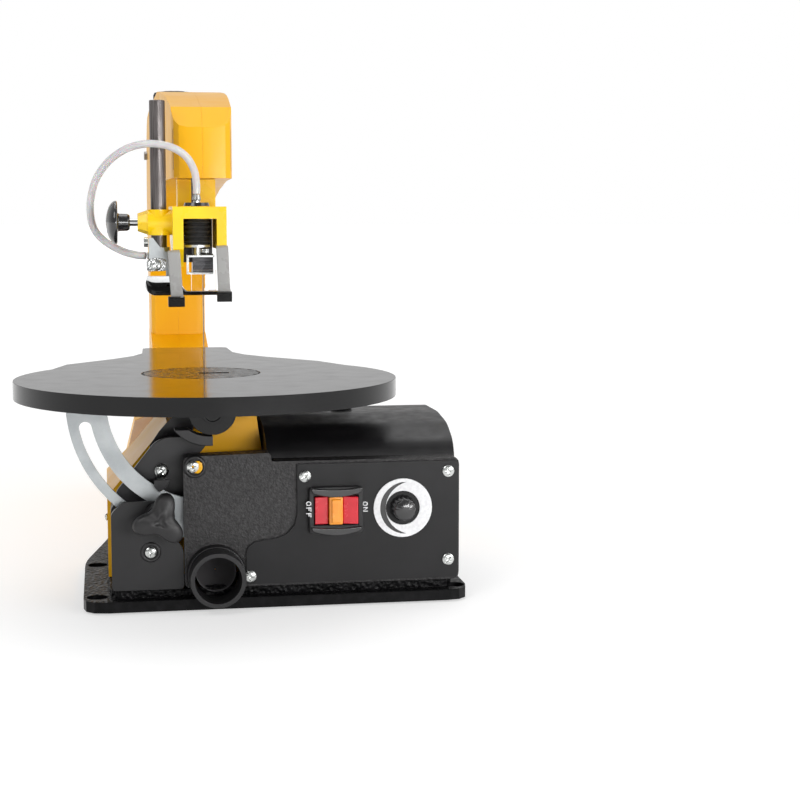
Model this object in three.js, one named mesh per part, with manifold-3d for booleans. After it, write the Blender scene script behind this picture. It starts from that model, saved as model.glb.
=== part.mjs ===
// C-frame scroll saw with a tilting table, in millimetres, +Z up, operator side towards -Y.
// Working coordinates have the blade on X = 0, Y = 0; the finished saw is moved so that the
// middle of its bounding box's floor is the origin.
import * as THREE from "three";
import Module from "manifold-3d";

const wasm = await Module();
wasm.setup();
const { Manifold } = wasm;

// ---- driving dimensions -------------------------------------------------------------------
const GAP = 0.3;
const TABLE_Z = 150;             // top of the table above the bench
const PLATE = 5;                 // table plate thickness
const RIM = 12;                  // depth of the table's edge
const TABLE_R = 127.5;           // front of the table is a circle
const TABLE_CY = -28;
const TONGUE = { x0: -37, x1: 31, y: 222 };
const PIVOT_Z = 138;             // tilt axis height
const ARC = { inner: 67, outer: 93, slotIn: 78.3, slotOut: 86.5, y0: -58, y1: -55.5 };
const STUD = { r: 82.4, deg: 65.7 };
const INSERT = { x: -2, y: 1.5, r: 40.5 };
const FRONT = -66;               // front face of the covers
const FRAME_Y = -20;             // front face of the cast frame
const BASE = { x0: -84, x1: 172, y0: -74.5, y1: 482, foot: 1.2, rim: 8.5, top: 13.5 };
const WALL = 3;
const COLUMN = { half: 25, y0: 405, y1: 470 };
const ARM = { half: 25, under: 283, nose: -14, noseHalf: 20 };
const THROAT_Z = 190;            // underside of the arm where it meets the column
const HINGE_Y = 440;             // rocker arm pivots
const UPPER_Z = 312;
const LOWER_Z = 84;
const MOTOR = { y: 30, z: 62, r: 38, x0: 44, x1: 156, crank: 7.5 };
const ROD = { x: -30, y: -20, r: 5.2, z0: 228, z1: 334 };
const PUMP = { x: -5, y: -26 };
const SWITCH = { x0: 63.8, x1: 99.8, z0: 48.5, z1: 80 };
const KEY = { x0: 76.8, x1: 85.8, z0: 53, z1: 70 };
const DIAL = { x: 127, z: 64, r: 19.8 };
const PORT = { x: 2.5, z: 23.4, r: 18.1, bore: 15.2, y: -90 };

const MATERIALS = {
  yellow: { color: 0xf2b414, roughness: 0.35, metalness: 0.1 },
  black_metal: { color: 0x1b1b1c, roughness: 0.3, metalness: 0.2 },
  black_plastic: { color: 0x2a2a2b, roughness: 0.6, metalness: 0 },
  rubber: { color: 0x141414, roughness: 0.85, metalness: 0 },
  zinc: { color: 0xb9bdbd, roughness: 0.4, metalness: 0.9 },
  steel: { color: 0x77797b, roughness: 0.3, metalness: 1 },
  chrome: { color: 0xd8dadc, roughness: 0.08, metalness: 1 },
  alloy: { color: 0x9da0a2, roughness: 0.45, metalness: 0.9 },
  clear: { color: 0xdfe8ea, roughness: 0.08, metalness: 0, transparent: true, opacity: 0.4 },
  red: { color: 0xcf2038, roughness: 0.3, metalness: 0 },
  orange: { color: 0xf09a2c, roughness: 0.35, metalness: 0 },
  white: { color: 0xe9e9e6, roughness: 0.5, metalness: 0 },
};

// ---- solid helpers ------------------------------------------------------------------------
const rad = THREE.MathUtils.degToRad;

function box(x0, x1, y0, y1, z0, z1) {
  return Manifold.cube([x1 - x0, y1 - y0, z1 - z0]).translate([x0, y0, z0]);
}

// Closed outlines are lists of [u, v], taken anticlockwise whichever way they are drawn.
function section(points) {
  let area = 0;
  points.forEach(([u, v], i) => {
    const [a, b] = points[(i + 1) % points.length];
    area += u * b - a * v;
  });
  return new wasm.CrossSection([area > 0 ? points : [...points].reverse()], "Positive");
}

const alongZ = (points, z0, z1) => section(points).extrude(z1 - z0).translate([0, 0, z0]);

// Outline in (x, z), extruded from y0 to y1.
const alongY = (points, y0, y1) =>
  section(points).extrude(y1 - y0).rotate([90, 0, 0]).translate([0, y1, 0]);

// Outline in (y, z), extruded from x0 to x1.
const alongX = (points, x0, x1) =>
  section(points).extrude(x1 - x0).rotate([90, 0, 90]).translate([x0, 0, 0]);

function cylinder(axis, radius, from, to, at, sides = 28, radius2 = radius) {
  const solid = Manifold.cylinder(to - from, radius, radius2, sides);
  if (axis === "z") return solid.translate([at[0], at[1], from]);
  if (axis === "y") return solid.rotate([-90, 0, 0]).translate([at[0], from, at[1]]);
  return solid.rotate([0, 90, 0]).translate([from, at[0], at[1]]);
}

// Points on a circular arc, from one angle to another, in degrees.
function arcPoints(cx, cy, r, from, to, steps) {
  return Array.from({ length: steps + 1 }, (_, i) => {
    const a = rad(from + ((to - from) * i) / steps);
    return [cx + r * Math.cos(a), cy + r * Math.sin(a)];
  });
}

// Every corner of an outline rounded by up to r.
function rounded(points, r, steps = 3) {
  const out = [];
  points.forEach((corner, i) => {
    const p = new THREE.Vector2(...corner);
    const a = new THREE.Vector2(...points[(i + points.length - 1) % points.length]);
    const b = new THREE.Vector2(...points[(i + 1) % points.length]);
    const reach = Math.min(r, p.distanceTo(a) * 0.45, p.distanceTo(b) * 0.45);
    const start = p.clone().lerp(a, reach / p.distanceTo(a));
    const end = p.clone().lerp(b, reach / p.distanceTo(b));
    for (let k = 0; k <= steps; k++) {
      const t = k / steps;
      const q = start.clone().multiplyScalar((1 - t) ** 2);
      q.addScaledVector(p, 2 * t * (1 - t)).addScaledVector(end, t * t);
      out.push([q.x, q.y]);
    }
  });
  return out;
}

// A closed half outline in (radius, height) turned about Z.
const turned = (profile, sides = 28) => section(profile).revolve(sides);

// A tube along a smooth open route.
function tube(route, radius, steps, sides = 10) {
  const curve = new THREE.CatmullRomCurve3(route.map((p) => new THREE.Vector3(...p)));
  const ring = new THREE.Shape(
    arcPoints(0, 0, radius, 0, 360, sides).slice(0, -1).map((p) => new THREE.Vector2(...p)),
  );
  return new THREE.ExtrudeGeometry(ring, { steps, bevelEnabled: false, extrudePath: curve });
}

function toGeometry(solid) {
  const { vertProperties, triVerts } = solid.getMesh();
  const geometry = new THREE.BufferGeometry();
  geometry.setAttribute("position", new THREE.BufferAttribute(vertProperties, 3));
  geometry.setIndex(new THREE.BufferAttribute(triVerts, 1));
  return geometry;
}

const saw = new THREE.Group();
saw.name = "scroll_saw";

function add(name, material, shape) {
  const geometry = shape.isBufferGeometry ? shape : toGeometry(shape);
  geometry.computeVertexNormals();
  const mesh = new THREE.Mesh(geometry, new THREE.MeshStandardMaterial(MATERIALS[material]));
  mesh.name = name;
  saw.add(mesh);
}

// ---- base ---------------------------------------------------------------------------------
function baseOutline(inset) {
  const { x0, x1, y0, y1 } = BASE;
  const d = inset;
  return rounded([
    [x0 + d * 1.9, y0 + d], [x1 - d, y0 + d], [x1 - d, 128 - d], [104, 150 - d],
    [52, 232 - d], [46 - d, y1 - d], [-46 + d, y1 - d], [-52 + d, 240 - d],
    [-70 + d, 132 - d], [x0 + d * 1.9, 58 - d],
  ], 16 - d / 2);
}

function addBase() {
  const { foot, rim, top } = BASE;
  let base = alongZ(baseOutline(0), foot, rim);
  base = base.add(alongZ(baseOutline(9), rim - 1, top));
  base = base.subtract(box(-54, 140, -40, 120, 5, top + 1));
  base = base.subtract(cylinder("y", PORT.r + 1.2, -95, -62, [PORT.x, PORT.z], 40));
  for (const [x, y] of EAR_HOLES) {
    base = base.subtract(cylinder("z", 3.6, 0, 30, [x, y], 16));
    base = base.subtract(cylinder("z", 7, 5.5, 30, [x, y], 20));
  }
  add("base_plate", "black_metal", base);
  const feet = { front_left: [-60, -46], front_right: [140, -46], rear_left: [-30, 452],
    rear_right: [30, 452] };
  for (const [place, at] of Object.entries(feet)) {
    add(`rubber_foot_${place}`, "rubber", cylinder("z", 11, 0, foot - 0.02, at, 24, 12));
  }
}
const EAR_HOLES = [[-75, -58], [164, 112], [164, -60], [-75, 46]];

// ---- cast C-frame, split down the middle ----------------------------------------------------
function lowerHousing() {
  const z0 = BASE.top + GAP;
  const outline = [[-67.5, z0], [-67.5, 69], [-26.5, 118.5], [-12, 118.5], [-8, 124], [34, 122.5],
    [37.5, 98], [37.5, z0]];
  let housing = alongY(outline, FRAME_Y, 120);
  housing = housing.add(alongX(rounded([[118, z0], [118, 110], [236, 110], [300, 118], [412, 150],
    [478, 150], [478, z0]], 10), -ARM.half, ARM.half));
  housing = housing.add(alongY([[-56, z0], [-56, 58], [-52.9, 68], [-45.3, 98], [-30, 104],
    [-ARM.half + 1, 106], [-ARM.half + 1, z0]], 163, 190));
  // the shoulder is cut back where the table comes down when it tilts
  housing = housing.subtract(alongY([[-70, 64.5], [-20, 114.5], [-20, 130], [-70, 130]], 76, 121))
    .subtract(cylinder("y", 26, FRAME_Y - 1, 41, [0, PIVOT_Z], 48))
    .subtract(cylinder("y", 33, 40, 90, [0, PIVOT_Z], 48));
  return housing;
}

// Side view of the column and the overhanging arm: a throat that curves up to a level nose.
function armOutline() {
  const { y0 } = COLUMN;
  const run = y0 - 30;
  const throat = Array.from({ length: 12 }, (_, i) => {
    const t = Math.sin(rad((90 * (11 - i)) / 11));
    return [30 + run * t, THROAT_Z + (ARM.under - THROAT_Z) * Math.sqrt(1 - t ** 2.6)];
  });
  const spine = new THREE.SplineCurve([
    [ARM.nose + 12, 331], [70, 344], [210, 355], [330, 357], [420, 347], [462, 322], [482, 262],
    [COLUMN.y1 + 8, THROAT_Z],
  ].map((p) => new THREE.Vector2(...p)));
  const back = spine.getPoints(22).map((p) => [p.x, p.y]);
  return [...throat, [ARM.nose, ARM.under], [ARM.nose, 317], ...back];
}

function frameSolid() {
  const { half, y0, y1 } = COLUMN;
  const back = y1 + 8;
  const column = alongZ(rounded([[-half, y0], [half, y0], [half, back], [-half, back]], 9), 100,
    THROAT_Z + 60);
  const arm = alongX(armOutline(), -ARM.half, ARM.half);
  // the arm narrows towards the nose and its long edges are broken
  const plan = rounded([[-ARM.noseHalf, ARM.nose], [ARM.noseHalf, ARM.nose], [ARM.half, 150],
    [ARM.half, 490], [-ARM.half, 490], [-ARM.half, 150]], 10);
  const end = (x0, x1, y) => rounded([[x0, 170], [x1, 170], [x1, y], [x0, y]], 12);
  let shell = arm.intersect(alongZ(plan, 100, 400));
  shell = shell.intersect(alongY(end(-ARM.half, ARM.half, 358), -60, 500));
  return lowerHousing().add(column).add(shell);
}

function frameCavities() {
  const wall = 5.5;
  const half = ARM.half - wall;
  const arm = section(armOutline()).offset(-wall, "Miter", 2).extrude(2 * half)
    .translate([0, 0, -half]);
  const upper = arm.rotate([90, 0, 90]).intersect(box(-half, half, -9, 500, 100, 400));
  const nose = box(-9, 9, -9, 9, 260, 300);
  const lower = alongY([[-59.5, 18], [-59.5, 66], [-31, 100], [30, 100], [32, 90], [32, 18]],
    -12, 112).add(box(-14, 14, -12, 60, 90, 130));
  const beam = box(-half, half, 100, 466, 20, 104);
  const column = box(-half, half, COLUMN.y0 + wall, COLUMN.y1 - wall, 100, THROAT_Z + 50);
  const shaft = box(20, 60, MOTOR.y - 12, MOTOR.y + 12, MOTOR.z - 12, MOTOR.z + 12);
  return upper.add(nose).add(lower).add(beam).add(column).add(shaft);
}

function addFrame() {
  const frame = frameSolid().subtract(frameCavities());
  const big = 700;
  const topHole = cylinder("z", 4, 330, 380, [0, TENSION.y], 20);
  add("frame_half_left", "yellow", frame.intersect(box(-big, -0.15, -big, big, -big, big))
    .subtract(cylinder("x", 4.2, -80, 10, [HINGE_Y, UPPER_Z], 20))
    .subtract(cylinder("x", 4.2, -80, 10, [HINGE_Y, LOWER_Z], 20)).subtract(topHole));
  add("frame_half_right", "yellow", frame.intersect(box(0.15, big, -big, big, -big, big))
    .subtract(cylinder("x", 4.2, -10, 80, [HINGE_Y, UPPER_Z], 20))
    .subtract(cylinder("x", 4.2, -10, 80, [HINGE_Y, LOWER_Z], 20)).subtract(topHole));
  add("upper_pivot_pin", "steel", cylinder("x", 3.9, -28, 28, [HINGE_Y, UPPER_Z], 20));
  add("lower_pivot_pin", "steel", cylinder("x", 3.9, -28, 28, [HINGE_Y, LOWER_Z], 20));
}

// ---- covers, trunnion bracket and motor ---------------------------------------------------
function addCovers() {
  const { top } = BASE;
  const z0 = top + GAP;
  const back = -50.4;
  // right cover: a hollow box that is open behind and on its left
  let cover = alongY(rounded([[-18.2, z0], [-18.2, 101.5], [37.6, 102.8], [39.4, 101], [39.4, 97],
    [166, 97],
    [166, z0]], 5), FRONT, back);
  cover = cover.subtract(box(-30, 163, FRONT + WALL, back + 1, z0 + WALL, 94));
  cover = cover.subtract(box(-30, 42, FRONT + WALL, back + 1, 90, 100));
  cover = cover.subtract(cylinder("y", PORT.bore, -80, -55, [PORT.x, PORT.z], 32));
  cover = cover.subtract(box(PORT.x - 16, PORT.x + 16, FRONT + WALL, back + 1, 10, 30));
  add("front_cover", "black_plastic", cover);

  // left cover: its corner is notched where the end of the tilt arc shows
  let side = alongY(rounded([[-65.3, z0], [-65.3, 65], [-57.5, 72.7], [-25.5, 72.7], [-24.5, 49],
    [-18.6, 40], [-18.6, z0]], 2.5), FRONT, FRAME_Y - GAP);
  side = side.subtract(box(-62.3, 10, FRONT + WALL, 0, z0 + WALL, 80));
  side = side.subtract(box(-70, -54, ARC.y0 - 2, -44, 55, 80))
    .subtract(cylinder("y", 3, -80, -50, studAt(), 16))
    .subtract(cylinder("y", 2.9, -80, -62, [-39.4, 68.3], 20));
  add("left_cover", "black_plastic", side);

  const outer = [[FRONT + 66 - 50, z0], [-50, 96], [-44, 106], [-24, 115], [10, 119],
    [60, 118.5], [96, 108], [108, 90], [110, z0]];
  const shell = alongX(rounded(outer, 7), 38.2, 166)
    .subtract(alongX([[-47, 0], [-47, 94], [-42, 103], [-22, 112], [10, 116], [58, 115.5],
      [93, 106], [105, 89], [107, 0]], 41.2, 163))
    .subtract(box(30, 44, MOTOR.y - 12, MOTOR.y + 12, MOTOR.z - 12, MOTOR.z + 12));
  add("motor_cover", "black_plastic", shell);
  add("motor_cover_cap", "rubber", cylinder("z", 8, 119.3, 123, [100, 34], 24, 7));
  add("dust_port", "black_plastic", dustPort());
}

function dustPort() {
  const { x, z, r, bore, y } = PORT;
  const at = [x, z];
  const flange = cylinder("y", r + 0.8, -72, FRONT - GAP, at, 40, r + 1.5)
    .subtract(box(-100, 100, -80, 0, -10, BASE.top + GAP));
  const cowl = cylinder("y", r, y, FRONT - GAP, at, 40).add(flange);
  return cowl.subtract(cylinder("y", bore, y - 1, FRONT + 1, at, 40));
}

function studAt() {
  return [-STUD.r * Math.cos(rad(STUD.deg)), PIVOT_Z - STUD.r * Math.sin(rad(STUD.deg))];
}

function addTrunnion() {
  // bracket bolted to the frame; its round seat carries the table's lug
  let bracket = alongY(rounded([[-61.8, 58], [-61.8, 76], [-36, 108.5], [-28, 112], [3, 112],
    [-8.5, 97.5], [-8.5, 58]], 3), -45, -41);
  bracket = bracket.add(box(-50, -24, -41.5, FRAME_Y - GAP, 62, 86));
  bracket = bracket.add(cylinder("y", 31, -57, -42, [0, PIVOT_Z], 56)
    .intersect(box(-23, 2, -60, -40, 100, 118)));
  bracket = bracket.subtract(cylinder("y", 24.5, -70, -40, [0, PIVOT_Z], 48));
  bracket = bracket.subtract(cylinder("y", 2.6, -60, -30, [-31.4, 89.5], 16));
  add("trunnion_bracket", "black_metal", bracket);
  const pointer = alongY([[-37, 86], [-26.5, 86], [-28.5, 81.5], [-33.5, 77.5], [-37, 81.5]], -61.5, -60);
  add("tilt_pointer", "black_metal", pointer.add(box(-35, -29, -60.5, -45 - GAP, 82, 85.5)));
  add("bracket_screw", "zinc", cylinder("y", 2.3, -45.3, -34, [-31.4, 89.5], 16)
    .add(cylinder("y", 3.6, -49, -45.3, [-31.4, 89.9], 20, 4.1)));
  add("rear_trunnion_seat", "black_metal", cylinder("y", 32.7, 62, 74, [0, PIVOT_Z], 56)
    .intersect(box(-25, 25, 60, 80, 100, 118))
    .subtract(cylinder("y", 24.5, 0, 90, [0, PIVOT_Z], 48)));
}

function addLock() {
  const at = studAt();
  const plate = cylinder("y", 8.6, -71.6, FRONT - GAP, at, 36, 10);
  add("lock_plate", "black_plastic", plate.subtract(cylinder("y", 3, -80, -60, at, 16)));
  const lobes = [90, 210, 330].map((a) => cylinder("y", 5.8, -88, -79,
    [at[0] + 12.4 * Math.cos(rad(a - 14)), at[1] + 12.4 * Math.sin(rad(a - 14))], 20));
  let knob = cylinder("y", 10, -90, -79, at, 28).add(cylinder("y", 7, -80, -71.9, at, 24));
  lobes.forEach((lobe) => { knob = knob.add(lobe); });
  add("tilt_lock_knob", "black_plastic", knob.subtract(cylinder("y", 2.8, -86, -60, at, 16)));
  add("tilt_lock_stud", "zinc", cylinder("y", 2.5, -85.5, -49, at, 16));
}

function addMotor() {
  const { y, z, r, x0, x1, crank } = MOTOR;
  let stator = cylinder("x", r, x0, x1, [y, z], 40);
  stator = stator.subtract(cylinder("x", 16, x0 + 6, x1 - 6, [y, z], 32));
  stator = stator.subtract(cylinder("x", 7, x0 - 1, x1 + 1, [y, z], 24));
  stator = stator.add(box(x0 + 8, x1 - 8, y - 22, y + 22, BASE.top + 0.4, z - 32)
    .subtract(cylinder("x", 20, x0, x1, [y, z], 32)));
  add("motor_stator", "alloy", stator);
  const disc = cylinder("x", 12, 13, 19, [y, z], 28);
  const rotor = cylinder("x", 5, 13, x1 + 4, [y, z], 20)
    .add(cylinder("x", 15, x0 + 10, x1 - 10, [y, z], 32))
    .add(disc.translate([0, 2, 0])).add(cylinder("x", 3, 8.6, 14, [y + crank, z], 16));
  add("motor_rotor", "steel", rotor);
  const strap = cylinder("x", 7, 9, 12.6, [y + crank, z], 24)
    .add(box(9, 12.6, y + crank - 4, y + crank + 4, z, LOWER_Z))
    .add(cylinder("x", 6, 9, 12.6, [y + crank, LOWER_Z + 2], 24))
    .subtract(cylinder("x", 3.3, 0, 20, [y + crank, z], 20))
    .subtract(cylinder("x", 3.6, 0, 20, [y + crank, LOWER_Z + 2], 20));
  add("pitman", "alloy", strap);
}

// ---- rocker arms and the blade --------------------------------------------------------------
function rockerArm(z, tip, lift) {
  const bar = alongX(rounded([[tip, z + lift - 6.5], [60, z + lift - 7.5], [300, z - 10],
    [HINGE_Y, z - 12], [HINGE_Y + 12, z], [HINGE_Y, z + 12], [300, z + 10],
    [60, z + lift + 7.5], [tip, z + lift + 6.5]], 5), -7, 7);
  return bar.subtract(cylinder("x", 4.2, -20, 20, [HINGE_Y, z], 20));
}

function addArms() {
  const upper = rockerArm(UPPER_Z, -6, -8).subtract(box(-10, 10, -6.5, 5, 290, 330));
  add("upper_arm", "alloy", upper);
  const lower = rockerArm(LOWER_Z, -6, 0).subtract(box(-10, 10, -6.5, 5, 60, 110))
    .add(cylinder("x", 3.2, 6, 8.7, [MOTOR.y + MOTOR.crank, LOWER_Z + 2], 20));
  add("lower_arm", "alloy", lower);
}

function addBlade() {
  const slot = box(-0.6, 0.6, -2.2, 2.2, 60, 240);
  const flat = box(-0.25, 0.25, -1.7, 1.4, 89, 224);
  const teeth = Array.from({ length: 28 }, (_, i) => {
    const z = 104 + i * 4;
    return alongX([[-1.3, z], [-1.3, z + 2.4], [-1.9, z + 0.3]], -0.25, 0.25);
  });
  add("blade", "steel", teeth.reduce((solid, tooth) => solid.add(tooth), flat));
  const clamp = box(-7.2, 6.8, -6.5, 6.5, 219, 232).subtract(slot)
    .add(cylinder("z", 2, 231, 306, [-5.2, 0], 18));
  add("upper_blade_clamp", "steel", clamp);
  add("lower_blade_clamp", "steel", box(-7, 7, -6, 4.6, 88, 100).subtract(slot)
    .add(cylinder("x", 3, 7, 11, [0, 94], 16)));
  add("clamp_nut", "zinc", cylinder("z", 3.6, 232.3, 235.6, [0.8, 0], 6));
  const wall = 1.2;
  const bracket = box(-11.4, -11.4 + wall, -17, -7.5, 218.5, 231.7)
    .add(box(-11.4, 6, -17, -7.5, 218.5, 218.5 + wall))
    .add(box(-11.4, 6, PUMP.y - 7, -10.6, 230.5, 231.7))
    .add(cylinder("z", 2, 231, 237.5, [PUMP.x, PUMP.y], 16))
    .add(cylinder("z", 8.5, 237, 238.6, [PUMP.x, PUMP.y], 28));
  add("pump_bracket", "zinc", bracket);
}

// ---- head: casting, pump, foot ----------------------------------------------------------------
function addHead() {
  const left = alongX([[-38, 258], [-38, 236], [-30, 224], [-16, 230], [12, 240], [12, 258]],
    -21.5, -14.5);
  const right = alongX([[-38, 258], [-38, 236], [12, 236], [12, 258]], 7.5, 14);
  const boss = [ROD.y, 253.5];
  let head = box(-21.5, 14, -38, 30, 256, 264).add(left).add(right)
    .add(box(-16, 10, 12, 30, 263, ARM.under - GAP))
    .add(cylinder("x", 8.4, -37.5, -20, boss, 40))
    .add(cylinder("z", 7.8, 245, 262, [ROD.x, ROD.y], 32))
    .add(cylinder("x", 5.9, -44, -37.5, boss, 8, 8.2));
  head = head.subtract(cylinder("z", 5.5, 240, 270, [ROD.x, ROD.y], 24))
    .subtract(cylinder("x", 2.8, -50, -32, boss, 16))
    .subtract(cylinder("z", 4.4, 250, 270, [-5.2, 0], 24))
    .subtract(cylinder("z", 1.6, 250, 270, [PUMP.x, PUMP.y], 14));
  add("head_casting", "yellow", head);

  add("hood_back", "black_plastic", box(-14.2, 7.2, 8.2, 9.8, 226, 255.7));

  const prong = (x0, x1, top, low) => alongX([[-38.3, top], [-41.3, top - 1.5], [-41.3, low + 12],
    [-43, low + 8], [-46, low + 6.4], [-49.5, low + 5.8], [-49.5, low], [-43, low + 1],
    [-39.4, low + 4], [-38.3, low + 8]], x0, x1);
  const lean = (solid, x, angle) =>
    solid.translate([-x, 0, -215]).rotate([0, -angle, 0]).translate([x, 0, 215]);
  add("guard_prong_left", "black_plastic", lean(prong(-24, -16, 235.5, 199), -20, 3.5));
  add("guard_prong_right", "black_plastic", lean(prong(7.5, 15.5, 238.5, 202), 11.5, 2));
  add("pump_washer", "black_plastic",
    cylinder("z", 8.6, 264.3, 266.6, [PUMP.x, PUMP.y], 28, 8)
      .subtract(cylinder("z", 2.6, 260, 270, [PUMP.x, PUMP.y], 20)));
  add("hose_barb", "zinc", turned([[1.2, 259], [2.3, 259], [2.3, 268], [2.9, 268.5],
    [2.3, 272], [1.2, 272]], 20).translate([PUMP.x, PUMP.y, 0])
    .intersect(cylinder("z", 4, 264.4, 280, [PUMP.x, PUMP.y], 20)));
  add("pump_bellows", "rubber", bellows());
}

function bellows() {
  const [z0, z1, folds] = [238.9, 255.7, 4];
  const pitch = (z1 - z0) / folds;
  const outer = [];
  for (let i = 0; i < folds; i++) {
    outer.push([7, z0 + i * pitch], [9.2, z0 + (i + 0.5) * pitch]);
  }
  return turned([[0, z0], ...outer, [7, z1], [0, z1]], 28).translate([PUMP.x, PUMP.y, 0]);
}

function addFoot() {
  const { x, y, r, z0, z1 } = ROD;
  add("foot_rod", "steel", cylinder("z", r, z0, z1, [x, y], 24));
  const bracket = alongY([[-37.2, 221.5], [-37.2, 243], [-34.5, 243.5], [-27.6, 234.5],
    [-21.5, 233.5], [-21.5, 207.8], [-26, 207.8], [-26, 221.5]], -30.5, -29)
    .add(cylinder("z", 6.9, 229.6, 237, [x, y], 28))
    .add(box(-33, -27, -29.4, -25, 230, 236.5))
    .subtract(cylinder("z", r + GAP, 220, 250, [x, y], 24));
  add("foot_bracket", "zinc", bracket);
  add("foot_side_screw", "zinc", cylinder("x", 3.2, -40.4, -37.5, [y - 9.8, 240.5], 20));
  add("air_nozzle", "zinc", cylinder("x", 2.3, -38.1, -37.1, [y - 3, 231.4], 20)
    .subtract(cylinder("x", 1.4, -50, 0, [y - 3, 231.4], 14)));
  add("nozzle_screw", "zinc", cylinder("y", 3.8, -34, -30.8, [-31, 225.6], 20));
  add("work_foot", "chrome", workFoot());
  add("blade_guard", "clear", box(-9.5, 7, -31.4, -30.2, 207.8, 222));
}

// The front of the foot turns up into a lip, and its fork runs back on both sides of the blade.
function workFoot() {
  const plate = alongZ([[-34, -36.4], [10, -36.4], [12, -30], [9, 4], [4, 4], [3.6, -24],
    [-4.4, -24], [-5, 4], [-10, 4], [-14, -20], [-34, -20]], 206, 207.4);
  const lip = alongY([[-38.2, 216], [-37.4, 218.2], [-20, 219], [-12, 207], [-12, 206], [-33, 206],
    [-36.6, 208], [-38, 211]], -36.4, -35);
  return plate.add(lip);
}

function addFootClamp() {
  const at = [ROD.y, 253.5];
  const stud = cylinder("x", 2.5, -56, ROD.x - ROD.r - GAP, at, 16);
  add("foot_clamp_stud", "chrome", stud);
  const knob = cylinder("x", 5.4, -57.5, -49, at, 20, 4)
    .add(cylinder("x", 12.4, -65, -63.8, at, 28, 14.3))
    .add(cylinder("x", 14.3, -63.8, -58.5, at, 28)).add(cylinder("x", 14.3, -58.5, -57, at, 28, 11));
  add("foot_clamp_knob", "black_plastic", knob.subtract(cylinder("x", 2.8, -58, -40, at, 16)));
}

// ---- table -------------------------------------------------------------------------------------
function tableOutline(inset) {
  const { x0, x1, y } = TONGUE;
  const d = inset;
  const mid = (x0 + x1) / 2;
  const half = (x1 - x0) / 2 - d;
  const circle = arcPoints(0, TABLE_CY, TABLE_R - d, 145, 395, 44);
  return [
    ...circle,
    [mid + half + 58, 82 - d], [mid + half + 24, 124 - d], [mid + half + 9, 148 - d],
    [mid + half + 1.5, 172 - d], [mid + half, y - 4 - d], [mid + half - 4, y - d],
    [mid - half + 4, y - d], [mid - half, y - 4 - d], [mid - half - 1.5, 172 - d],
    [mid - half - 9, 148 - d], [mid - half - 24, 124 - d], [mid - half - 58, 82 - d],
  ];
}

const LUG = { x: 2, z: 130, r: 15.8 };

function addTable() {
  const top = TABLE_Z;
  let table = alongZ(tableOutline(0), top - RIM, top)
    .subtract(alongZ(tableOutline(4.5), top - RIM - 1, top - PLATE));
  const lugShape = [...arcPoints(0, PIVOT_Z, 24, 180, 360, 20), [24, top - PLATE + 1],
    [-24, top - PLATE + 1]];
  const frontLug = [...arcPoints(LUG.x, LUG.z, LUG.r, 180, 360, 22), [LUG.x + LUG.r, top - PLATE + 1],
    [LUG.x - LUG.r, top - PLATE + 1]];
  const lugs = alongY(frontLug, -57, -46).add(alongY(lugShape, 62.5, 73.5));
  const boss = cylinder("y", 7.4, -58.6, -56, [LUG.x, LUG.z - 1], 28)
    .subtract(cylinder("y", 5.6, -60, -57.4, [LUG.x, LUG.z - 1], 28));
  table = table.add(lugs).add(boss).add(box(-94, -66, -55.2, -48, 132, top - PLATE + 1));
  for (const y of [90, 120]) {
    table = table.add(box(-46, 46, y, y + 3, top - PLATE - 5, top - PLATE + 1));
  }
  const at = [INSERT.x, INSERT.y];
  table = table.subtract(cylinder("z", INSERT.r - 4, 100, 200, at, 48))
    .subtract(cylinder("z", INSERT.r + GAP, top - 2.8, 200, at, 72))
    .subtract(box(-60, 60, -45.7, -45, 100, top - PLATE));
  add("table_top", "black_metal", table);
  const scallops = Array.from({ length: 120 }, (_, i) => {
    const a = rad(3 * i);
    const radius = INSERT.r - 0.75 * (1 - Math.cos(20 * a));
    return [at[0] + radius * Math.cos(a), at[1] + radius * Math.sin(a)];
  });
  add("table_insert", "black_metal", alongZ(scallops, top - 2.5, top)
    .subtract(box(-3.5, 17, -3.4, 3.4, 100, 200)));
  add("tilt_arc", "zinc", tiltArc());
}

function tiltArc() {
  const ring = (r0, r1, a0, a1, n) => [
    ...arcPoints(0, PIVOT_Z, r1, 180 + a0, 180 + a1, n),
    ...arcPoints(0, PIVOT_Z, r0, 180 + a1, 180 + a0, n),
  ];
  const { inner, outer, slotIn, slotOut, y0, y1 } = ARC;
  const mid = (slotIn + slotOut) / 2;
  const slot = alongY(ring(slotIn, slotOut, 12, 70, 24), y0 - 1, y1 + 1);
  const ends = [12, 70].map((a) => cylinder("y", (slotOut - slotIn) / 2, y0 - 1, y1 + 1,
    arcPoints(0, PIVOT_Z, mid, 180 + a, 180 + a, 1)[0], 20));
  const arc = alongY(ring(inner, outer, 0, 81, 30), y0, y1)
    .add(box(-outer, -inner, y0, y1, PIVOT_Z - 0.5, TABLE_Z - PLATE - GAP));
  return arc.subtract(slot).subtract(ends[0]).subtract(ends[1]);
}

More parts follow.
